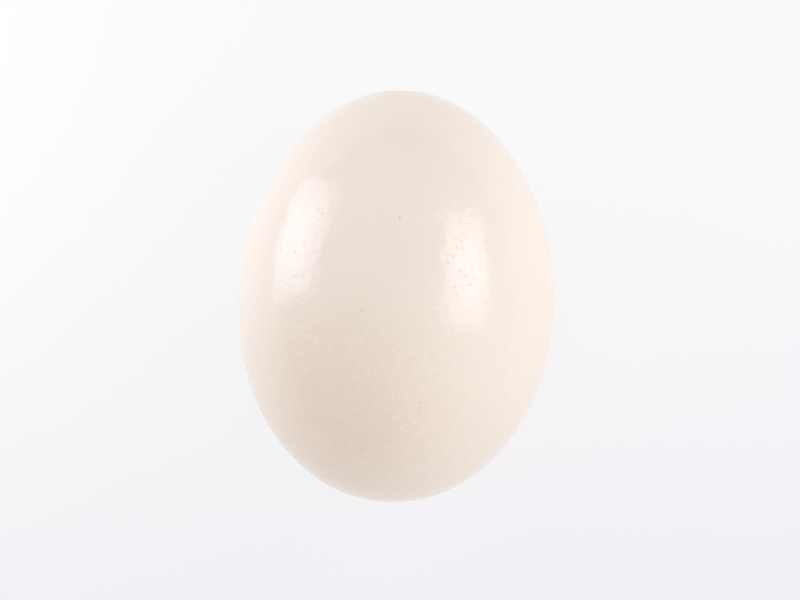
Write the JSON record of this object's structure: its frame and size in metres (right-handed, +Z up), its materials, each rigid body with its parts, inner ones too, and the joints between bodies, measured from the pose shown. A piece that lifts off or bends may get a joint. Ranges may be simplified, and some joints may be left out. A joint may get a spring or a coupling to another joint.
{
  "type": "ostrich egg",
  "caption": "Whole ostrich egg, ivory and glossy with fine pores, lying on its side on a small flat spot.",
  "frame": {"origin": "on the floor the egg rests on, directly below the middle of its long axis", "axes": "+Y along the long axis towards the slimmer end, +Z up from the rest spot, +X to the right when seen from the fuller end"},
  "size_m": [0.12, 0.156, 0.1196],
  "materials": {
    "eggshell": "ivory eggshell with a hard natural gloss and fine pinprick pores"
  },
  "bodies": {
    "root": {"egg": "eggshell"}
  },
  "joints": []
}
